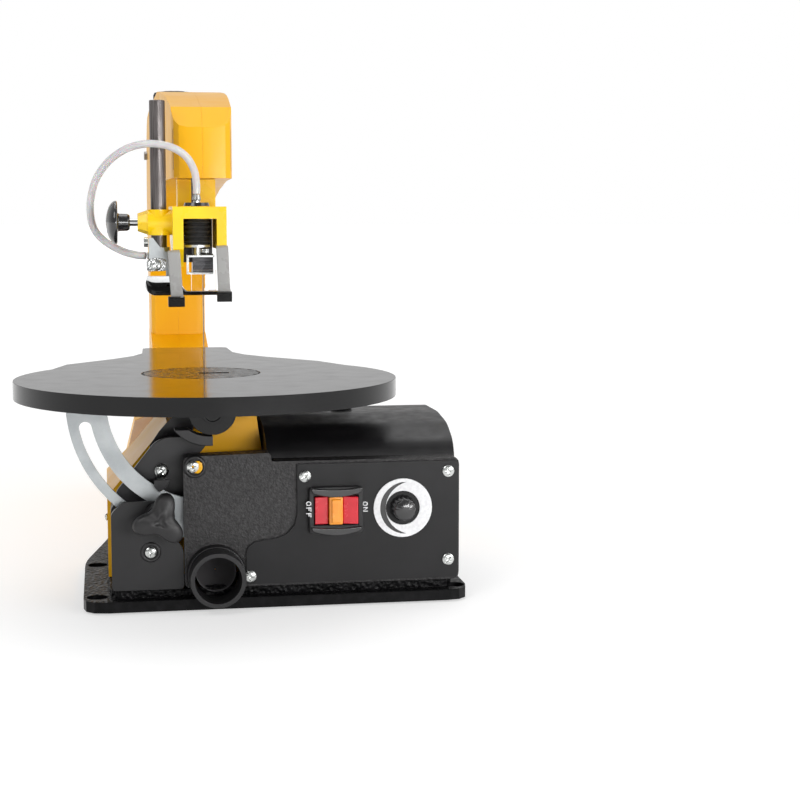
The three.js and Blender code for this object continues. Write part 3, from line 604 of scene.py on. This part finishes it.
def phillips(name, place, radius, body="frame", *nodes, turn=0.0, height=0.55):
    """A pan head facing the operator; the cross's edges lie on lines of the grid it is made of."""
    lines = [-h for h in HALF_LINES[:0:-1]] + HALF_LINES
    bm = bmesh.new()
    grid = []
    for u in lines:
        row = []
        for v in lines:
            x, y = u * math.sqrt(1 - v * v / 2), v * math.sqrt(1 - u * u / 2)
            z = height * (1 - CROWN * (x * x + y * y) ** CROWN_POWER)
            across, along = sorted((abs(u), abs(v)))
            if across <= CROSS_HALF and along <= CROSS_REACH:
                z -= CROSS_DEPTH * (1 - CROSS_TAPER * along / CROSS_REACH)
            row.append(bm.verts.new((x * radius, y * radius, z * radius)))
        grid.append(row)
    for a, b in zip(grid, grid[1:]):
        for k in range(len(lines) - 1):
            bm.faces.new((a[k], b[k], b[k + 1], a[k + 1]))
    rim = [e for e in bm.edges if e.is_boundary]
    skirt = bmesh.ops.extrude_edge_only(bm, edges=rim)["geom"]
    for v in [g for g in skirt if isinstance(g, bmesh.types.BMVert)]:
        v.co = (v.co.x * SKIRT_FLARE, v.co.y * SKIRT_FLARE, -SKIRT * radius)
    bmesh.ops.contextual_create(bm, geom=[g for g in skirt if isinstance(g, bmesh.types.BMEdge)
                                          and g.is_boundary])
    bm.transform(Matrix.Translation(place) @ facing(FORWARD, turn))
    obj = mesh_object(name, bm)
    break_edges(obj, 0.02 * radius, segments=2, angle=30)
    return finish_piece(obj, "screw", "zinc_plate", body, *nodes)


# across and up from the blade in mm, the depth of the face they sit on, and the radius in mm
COVER_SCREWS = [(-12, 95, COVER_FRONT, 3.9), (-40, 39, COVER_FRONT, 3.6),
                (61.5, 87, PANEL_FRONT, 3.9), (24.8, 20.9, PANEL_FRONT, 3.9),
                (158, 28, PANEL_FRONT, 3.9), (158, 88, PANEL_FRONT, 3.9)]


def add_fasteners():
    for index, (x, z, y, size) in enumerate(COVER_SCREWS):
        phillips(f"cover_screw_{index + 1}", on_face(x, z, y), size * MM, turn=0.4 + 0.9 * index)
    middle, lo = middle_of("bracket_screw"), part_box("bracket_screw")[0]
    phillips("bracket_screw_head", (middle.x, lo.y + 3.2 * MM, middle.z), 4.6 * MM,
             "frame", "bracket_screw", turn=0.5, height=0.7)


# ---- knobs: (radius, height) profiles, in millimetres --------------------------------------------
TRI_KNOB = [(7.2, 0), (7.4, 5.5), (10, 6.6), (16.6, 7.2), (18, 8.2), (18.5, 10), (18.2, 13.4),
            (17, 15.2), (14, 16.2), (9, 16.8), (7.6, 17.6), (4.6, 18), (4, 17), (0.6, 16.8)]
DISC_KNOB = [(4.2, -7.4), (5.0, -7), (5.6, -5.6), (5.8, -0.4), (6.2, 0.6), (13.2, 0.8), (14.3, 1.2),
             (14.3, 2.4), (13.9, 3.4), (12.6, 4.9), (10.2, 6.4), (7, 7.5), (3.4, 8.2), (0.5, 8.4)]
FLUTED_KNOB = [(8.9, 0.2), (8.9, 1.6), (7.9, 2.4), (7.5, 9.6), (7.1, 11.6), (6.2, 12.4),
               (0.5, 12.6)]
STAR_KNOB = [(3.4, 0), (3.4, 15.6), (9, 16.2), (17.6, 17.2), (18.9, 18.6), (18.9, 25), (17.8, 27.4),
             (14, 28.4), (8, 28.9), (0.6, 29)]
TRI_KNOB_STANDOFF = 5.9 * MM     # before the left cover's face
DISC_KNOB_HUB = 7.5 * MM         # from the end of its hub to the back of the disc


def add_knobs():
    stud = middle_of("tilt_lock_stud")
    knob = lathe("tilt_lock_tri_knob", TRI_KNOB, (stud.x, COVER_FRONT - TRI_KNOB_STANDOFF, stud.z),
                 FORWARD, 96, lobes=3, depth=0.5, sharpness=1.25, turn=math.radians(-46))
    finish_piece(knob, "lock", "black_plastic", "tilt_lock", "tilt_lock_knob")

    middle, hi = middle_of("foot_clamp_knob"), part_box("foot_clamp_knob")[1]
    knob = lathe("foot_clamp_disc_knob", DISC_KNOB, (hi.x - DISC_KNOB_HUB, middle.y, middle.z),
                 LEFTWARD, 72)
    finish_piece(knob, "gloss", "black_plastic", "foot_clamp", "foot_clamp_knob")

    middle, hi = middle_of("speed_knob"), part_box("speed_knob")[1]
    knob = lathe("speed_fluted_knob", FLUTED_KNOB, (middle.x, hi.y, middle.z), FORWARD, 96,
                 lobes=16, depth=0.05)
    finish_piece(knob, "gloss", "black_plastic", "speed_dial", "speed_knob")

    middle, lo = middle_of("tension_knob"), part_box("tension_knob")[0]
    knob = lathe("tension_star_knob", STAR_KNOB, (middle.x, middle.y, lo.z), UP, 96,
                 lobes=6, depth=0.2, sharpness=0.8)
    finish_piece(knob, "lock", "black_plastic", "tension", "tension_knob")


# ---- drop foot: millimetres from the blade -------------------------------------------------------
FOOT_LEFT, FOOT_RIGHT = -39, 12
FOOT_BACK, FOOT_BEND = -20, -28          # the sole's back edge, and where its lip turns up
FOOT_SOLE = 206.1
FOOT_SHEET, FORK_SHEET = 1.1, 1.2
LIP_REACH = 8.2                          # how far the lip curls forwards
LIP_TOP, LIP_TOP_RIGHT = 218.4, 208.2
LIP_FALL_FROM, LIP_FALL = -21, 9         # where its edge starts to fall, and over what length
CORNER_FROM, CORNER_LENGTH, CORNER_RISE = -32.5, 6.6, 6.2
FORK_FROM, FORK_EDGE = -14, -23.6        # right of here the back edge lies further forward
FORK_PRONGS = ([(-14, -23), (-4.4, -23), (-5, 3.6), (-10, 3.6)],
               [(3.6, -23), (12, -23), (9, 3.6), (4, 3.6)])
COLUMNS, SOLE_STEPS, LIP_STEPS = 56, 3, 12       # of the sheet: across, over the sole, up the lip
NOZZLE_CLIP = [(-6.6, -3.6), (-5.2, -4.4), (4.4, -4.2), (6.2, -3), (6.4, 2.2), (4.6, 4), (-1, 4.6),
               (-5.4, 3.9), (-6.8, 2)]


def clamped(t):
    return min(max(t, 0), 1)


def add_foot():
    """The chromed work foot: a fork behind, and in front a lip curled up like a ski tip."""
    rows = []
    for i in range(COLUMNS + 1):
        x = FOOT_LEFT + (FOOT_RIGHT - FOOT_LEFT) * (i / COLUMNS) ** 1.2
        corner = clamped((CORNER_FROM - x) / CORNER_LENGTH)
        low = FOOT_SOLE + CORNER_RISE * (1 - math.sqrt(1 - corner ** 2))
        fall = clamped((x - LIP_FALL_FROM) / LIP_FALL)
        fall = fall * fall * (3 - 2 * fall)
        high = LIP_TOP * (1 - fall) + LIP_TOP_RIGHT * fall
        row = []
        for k in range(SOLE_STEPS + 1):
            y = FOOT_BACK + (FOOT_BEND - FOOT_BACK) * k / SOLE_STEPS
            row.append(at_saw(x, y if x < FORK_FROM or k else FORK_EDGE, low))
        for k in range(1, LIP_STEPS + 1):
            a = math.pi / 2 * k / LIP_STEPS
            row.append(at_saw(x, FOOT_BEND - LIP_REACH * math.sin(a),
                              low + (high - low) * (1 - math.cos(a))))
        rows.append(row)
    bm = bmesh.new()
    sheet(bm, rows, FOOT_SHEET * MM)
    for outline in FORK_PRONGS:
        prism(bm, *([at_saw(x, y, z) for x, y in outline]
                    for z in (FOOT_SOLE, FOOT_SOLE + FORK_SHEET)))
    foot = mesh_object("work_foot_ski", bm)
    finish_piece(foot, "chrome", "chrome", "work_hold_down", "work_foot", edge=0.25)

    clip = slab("nozzle_clip", NOZZLE_CLIP, 1.1, at_saw(-32, -30.6, 225.6))
    finish_piece(clip, "clip", "chrome", "work_hold_down", edge=0.5)
    phillips("nozzle_screw_head", at_saw(-32.4, -31.8, 225.4), 3.7 * MM,
             "work_hold_down", "nozzle_screw", turn=0.35, height=0.6)


# ---- frame and head ------------------------------------------------------------------------------
HALF_GAP = 0.15 * MM             # each casting stops this far from the blade's plane
SEAM_HALF = 0.12 * MM            # half the thickness of what closes the gap
# outline of a thin cream plate on the yellow shoulder: a painted highlight for glare
SHOULDER = [(-55.8, 20), (-55.8, 58), (-52.8, 68), (-45.4, 97.6), (-30, 103.6), (-24.4, 105.4),
            (-24.4, 20)]
FLANGE_SCREW = [(2.3, 0), (2.4, 0.7), (1.6, 1.6), (0.3, 1.9)]
# outline of a dark plate on the yellow face beside the table's lug: painted shade
LUG_SHADE_PLATE = [(-38.5, 100), (-38.5, 103.5), (-32, 113), (-27, 118.6), (-21, 124), (-15, 128),
               (-9, 128), (-9, 100)]
FOLDS, FOLD_STEPS = 5, 8         # of the bellows; the radii below are in millimetres
BELLOWS_R, FOLD_DEPTH, BELLOWS_END_R = 8.1, 1.1, 7.6
# backwards and upwards from the cap's lower front corner
PRONG_CAP = [(0, 0), (0, 5.8), (1, 6.6), (3.2, 6.9), (4, 6.4), (4, 0.4), (3.4, 0)]
CAP_WALL, CAP_FRONT = 0.3 * MM, 0.5 * MM


def add_frame_details():
    """The joint line of the two castings is closed, a cream plate of painted glare laid on the
    yellow shoulder, and a small screw added.
    """
    half = NODES["frame_half_left"]
    bm = bmesh.new()
    for face in half.data.polygons:
        points = [half.matrix_world @ half.data.vertices[k].co for k in face.vertices]
        if all(abs(p.x - BLADE_X + HALF_GAP) < 0.03 * MM for p in points):
            bm.faces.new([bm.verts.new((BLADE_X - SEAM_HALF, p.y, p.z)) for p in points])
    bmesh.ops.remove_doubles(bm, verts=bm.verts, dist=1e-6)
    grown = bmesh.ops.extrude_face_region(bm, geom=bm.faces[:])["geom"]
    bmesh.ops.translate(bm, vec=(2 * SEAM_HALF, 0, 0),
                        verts=[g for g in grown if isinstance(g, bmesh.types.BMVert)])
    seam = mesh_object("frame_seam", bm, smooth=False)
    finish_piece(seam, "yellow", "yellow_paint", "frame")

    shoulder = slab("shoulder_painted_glare", SHOULDER, 0.6, at_saw(0, 162.9, 0))
    finish_piece(shoulder, "glare_cream", "yellow_paint", "frame", edge=0.2)

    screw = lathe("flange_screw", FLANGE_SCREW, at_saw(-67.5, -15, 54.2), LEFTWARD, 32)
    finish_piece(screw, "screw", "zinc_plate", "frame")


def add_lug_shade_plate():
    """A dark plate laid on the yellow face beside the table's lug: painted shade."""
    web = slab("lug_shade_plate", LUG_SHADE_PLATE, 1.2, at_saw(0, -20.5, 0))
    finish_piece(web, "bracket", "black_enamel", "frame", edge=0.4)


def add_bellows():
    middle = middle_of("pump_bellows")
    lo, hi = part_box("pump_bellows")
    tall = (hi.z - lo.z) / MM
    profile = [(0.5, 0), (BELLOWS_END_R, 0)]
    for i in range(FOLDS * FOLD_STEPS + 1):
        t = i / (FOLDS * FOLD_STEPS)
        fold = math.sin(2 * math.pi * FOLDS * t - math.pi / 2)
        profile.append((BELLOWS_R + FOLD_DEPTH * fold, 0.4 + t * (tall - 0.8)))
    profile += [(BELLOWS_END_R, tall), (0.5, tall)]
    piece = lathe("pump_bellows_ribbed", profile, (middle.x, middle.y, lo.z), UP, 48)
    finish_piece(piece, "rubber", "rubber", "frame", "pump_bellows")
    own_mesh(piece)


def add_prong_tips():
    """Black caps on the turned-out ends of the two guard prongs."""
    for side in ("left", "right"):
        lo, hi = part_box(f"guard_prong_{side}")
        outline = [(lo.y - CAP_FRONT + y * MM, lo.z - CAP_WALL + z * MM) for y, z in PRONG_CAP]
        bm = bmesh.new()
        prism(bm, *([(x, y, z) for y, z in outline] for x in (lo.x - CAP_WALL, hi.x + CAP_WALL)))
        cap = mesh_object(f"prong_cap_{side}", bm, smooth=False)
        finish_piece(cap, "cap", "black_plastic", "frame", edge=0.7)


# ---- covers, switch, dial and prints -------------------------------------------------------------
# profile of a grey cup standing for the dust outlet's shaded throat: painted shade
DUCT_SHADE_CUP = [(13.4, 0), (13.4, -9), (0.5, -9.4), (0.5, -8.8), (12.4, -8.4), (12.8, 0)]
SCREW_POST = [(4.2, 0), (4.2, 0.5), (3.6, 0.8), (0.4, 0.8)]
SCREW_RIMS = {                   # across and up from the blade, inner and outer radius, in mm
    "cover_screw_rim": (-10.6, 94.8, 5.0, 7.6),
    "left_cover_screw_rim": (-40, 39, 4.4, 6.8),
}
RING_SIDES = 56
CURVE = [k / 24 for k in range(25)]      # the steps of a ridge's bowed edges
RIDGE_DEPTH = 7.6
LETTER_HALF_WIDTH, LETTER_HALF_HEIGHT, STROKE = 1.5, 1.75, 0.62
LETTER_PITCH = 3.8 * MM
INK = 0.12                       # how far the letters stand out
# the crescent's outer and inner arc: first angle and span in degrees, shift to the right and radii
DIAL_ARCS = ((98, 164, 2.3, 17.6, 17.6), (255, -150, 7.4, 19, 18))
DIAL_STEPS = 40


def add_duct_shade_cup():
    """A grey cup closing the dust outlet a little way in: painted shade standing for the shaded
    throat.
    """
    piece = lathe("dust_duct_shade_cup", DUCT_SHADE_CUP, on_face(2.5, 24, COVER_FRONT + 2 * MM), FORWARD,
                  RING_SIDES, closed=True)
    finish_piece(piece, "shade_grey", "black_plastic", "frame")


def add_cover_details():
    post = lathe("cover_screw_post", SCREW_POST, on_face(-9, 94.6, COVER_FRONT + 0.1 * MM), FORWARD,
                 40)
    finish_piece(post, "yellow", "yellow_paint", "frame")
    for name, (x, z, inner, outer) in SCREW_RIMS.items():
        profile = [(inner, 0), (inner, 0.7), ((inner + outer) / 2, 1.2), (outer - 0.4, 0.6),
                   (outer, 0)]
        rim = lathe(name, profile, on_face(x, z, COVER_FRONT), FORWARD, RING_SIDES, closed=True)
        finish_piece(rim, "lock", "black_plastic", "frame")


def add_switch():
    """Two ridges, above and below the rocker: the upper edge is dished, the lower edge bulges."""
    middle = middle_of("switch_bezel")
    lo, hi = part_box("switch_bezel")
    wide = (hi.x - lo.x) / MM
    for side, z, lift in (("top", hi.z - 2.6 * MM, 0.5), ("bottom", lo.z + 3.4 * MM, 0)):
        points = [((t - 0.5) * (wide - 1), 1.9 + lift - 1.2 * math.sin(math.pi * t)) for t in CURVE]
        points += [((0.5 - t) * (wide - 4), -0.9 - 3.1 * math.sin(math.pi * t) ** 0.8)
                   for t in CURVE]
        ridge = slab(f"switch_ridge_{side}", points, RIDGE_DEPTH, (middle.x, hi.y - 0.2 * MM, z))
        finish_piece(ridge, "gloss", "black_plastic", "frame", edge=0.9)


def bar(x0, x1, y0, y1):
    return [(x0, y0), (x1, y0), (x1, y1), (x0, y1)]


# each letter takes half its width, half its height and its stroke, and gives its outlines
def letter_o(w, h, s):
    ring = [2 * math.pi * k / 32 - math.pi / 2 for k in range(33)]
    outer = [(w * math.cos(a), h * math.sin(a)) for a in ring]
    inner = [((w - s) * math.cos(a), (h - s) * math.sin(a)) for a in reversed(ring)]
    return [outer + inner]


def letter_f(w, h, s):
    left = 0.2 - w
    return [bar(left, left + s, -h, h), bar(left + s, w, h - s, h),
            bar(left + s, w - 0.5, 0.2 - s / 2, 0.2 + s / 2)]


def letter_n(w, h, s):
    return [bar(-w, -w + s, -h, h), bar(w - s, w, -h, h),
            [(-w + s, h), (-w + s, h - 1.2 * s), (w - s, -h), (w - s, -h + 1.2 * s)]]


LETTERS = {"O": letter_o, "F": letter_f, "N": letter_n}


def add_prints():
    """The words ON and OFF beside the switch, and the dark crescent on the dial."""
    middle = middle_of("switch_bezel")
    lo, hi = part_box("switch_bezel")
    for word, x, y in (("OFF", lo.x - 0.4 * MM, lo.y - 0.02 * MM),
                       ("ON", hi.x + 2.0 * MM, PANEL_FRONT)):
        for index, letter in enumerate(word):
            drop = (index - (len(word) - 1) / 2 - 0.3) * LETTER_PITCH
            outlines = LETTERS[letter](LETTER_HALF_WIDTH, LETTER_HALF_HEIGHT, STROKE)
            for part, outline in enumerate(outlines):
                mark = slab(f"mark_{word}_{index + 1}_{part + 1}", outline, INK,
                            (x, y, middle.z - drop), turn=math.radians(-90))
                finish_piece(mark, "white", "white_plastic", "frame")

    middle, front = middle_of("dial_ring"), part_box("dial_ring")[0].y
    edge = []
    for start, span, shift, rx, ry in DIAL_ARCS:
        for k in range(DIAL_STEPS + 1):
            a = math.radians(start + span * k / DIAL_STEPS)
            edge.append((shift + rx * math.cos(a), ry * math.sin(a)))
    crescent = slab("dial_crescent", edge, 0.14, (middle.x, front, middle.z))
    finish_piece(crescent, "gloss", "black_plastic", "frame")


add_fasteners()
add_knobs()
add_prong_tips()
add_duct_shade_cup()
add_bellows()
add_switch()
add_foot()
add_lug_shade_plate()
add_frame_details()
add_prints()
add_cover_details()


# ---- stage ---------------------------------------------------------------------------------------
FLOOR_HALF = 60
GLOW_FROM, GLOW_TO = (0.5, 0.5), (3.0, 0.85)     # distance from the middle, and emission there
WORLD_FRONT, WORLD_BACK = 0.28, 0.72             # towards the operator, and behind the saw
SAW_MIDDLE = (0, 0, 0.15)
LIGHTS = {                                       # place, target, size and watts
    "key": ((-1.3, -1.6, 1.7), SAW_MIDDLE, (1.2, 1.2), 17),
    "fill": ((1.9, -1.2, 1.0), SAW_MIDDLE, (1.4, 1.4), 12),
    "low": ((0.6, -1.35, 0.27), (0, -0.1, 0.1), (0.9, 0.15), 7.5),
    "top": ((0, 0.3, 2.2), SAW_MIDDLE, (1.6, 1.6), 16),
}


def add_stage():
    """A pale floor whose far part glows more, so that it runs into the backdrop without a line."""
    bm = bmesh.new()
    bmesh.ops.create_grid(bm, x_segments=8, y_segments=8, size=FLOOR_HALF)
    floor = mesh_object("floor", bm, smooth=False)
    f = Finish("floor_white", srgb(196, 196, 196), 0.8, Specular_IOR_Level=0.1)
    f.shader.inputs["Emission Color"].default_value = (1, 1, 1, 1)
    reach = f.node("ShaderNodeVectorMath", operation="LENGTH")
    f.wire(f.coords.outputs["Object"], reach.inputs[0])
    glow = f.remap(reach.outputs["Value"], GLOW_FROM[0], GLOW_TO[0], GLOW_FROM[1], GLOW_TO[1])
    f.wire(glow, f.shader.inputs["Emission Strength"])
    floor.data.materials.append(f.mat)


def add_lights():
    for name, (place, target, size, watts) in LIGHTS.items():
        data = bpy.data.lights.new(name, "AREA")
        data.shape, data.size, data.size_y = "RECTANGLE", size[0], size[1]
        data.energy = watts
        obj = bpy.data.objects.new(name, data)
        bpy.context.scene.collection.objects.link(obj)
        obj.location = place
        aim = Vector(target) - Vector(place)
        obj.rotation_euler = aim.to_track_quat("-Z", "Y").to_euler()


def add_world():
    """Brighter behind the saw than in front, so dark faces stay dark. The camera sees white."""
    world = bpy.data.worlds.new("studio")
    world.use_nodes = True
    tree = world.node_tree
    soft = tree.nodes["Background"]
    backdrop = tree.nodes.new("ShaderNodeBackground")
    backdrop.inputs["Strength"].default_value = 1.0
    for background in (soft, backdrop):
        background.inputs["Color"].default_value = (1, 1, 1, 1)
    coords = tree.nodes.new("ShaderNodeTexCoord")
    split = tree.nodes.new("ShaderNodeSeparateXYZ")
    ramp = tree.nodes.new("ShaderNodeMapRange")
    ramp.interpolation_type = "SMOOTHSTEP"
    for key, value in {"From Min": -0.7, "From Max": 0.7,
                       "To Min": WORLD_FRONT, "To Max": WORLD_BACK}.items():
        ramp.inputs[key].default_value = value
    path = tree.nodes.new("ShaderNodeLightPath")
    mix = tree.nodes.new("ShaderNodeMixShader")
    for source, target in ((coords.outputs["Generated"], split.inputs[0]),
                           (split.outputs["Y"], ramp.inputs["Value"]),
                           (ramp.outputs["Result"], soft.inputs["Strength"]),
                           (path.outputs["Is Camera Ray"], mix.inputs[0]),
                           (soft.outputs[0], mix.inputs[1]),
                           (backdrop.outputs[0], mix.inputs[2]),
                           (mix.outputs[0], tree.nodes["World Output"].inputs["Surface"])):
        tree.links.new(source, target)
    bpy.context.scene.world = world


add_stage()
add_lights()
add_world()
bpy.context.scene.view_settings.view_transform = "Standard"
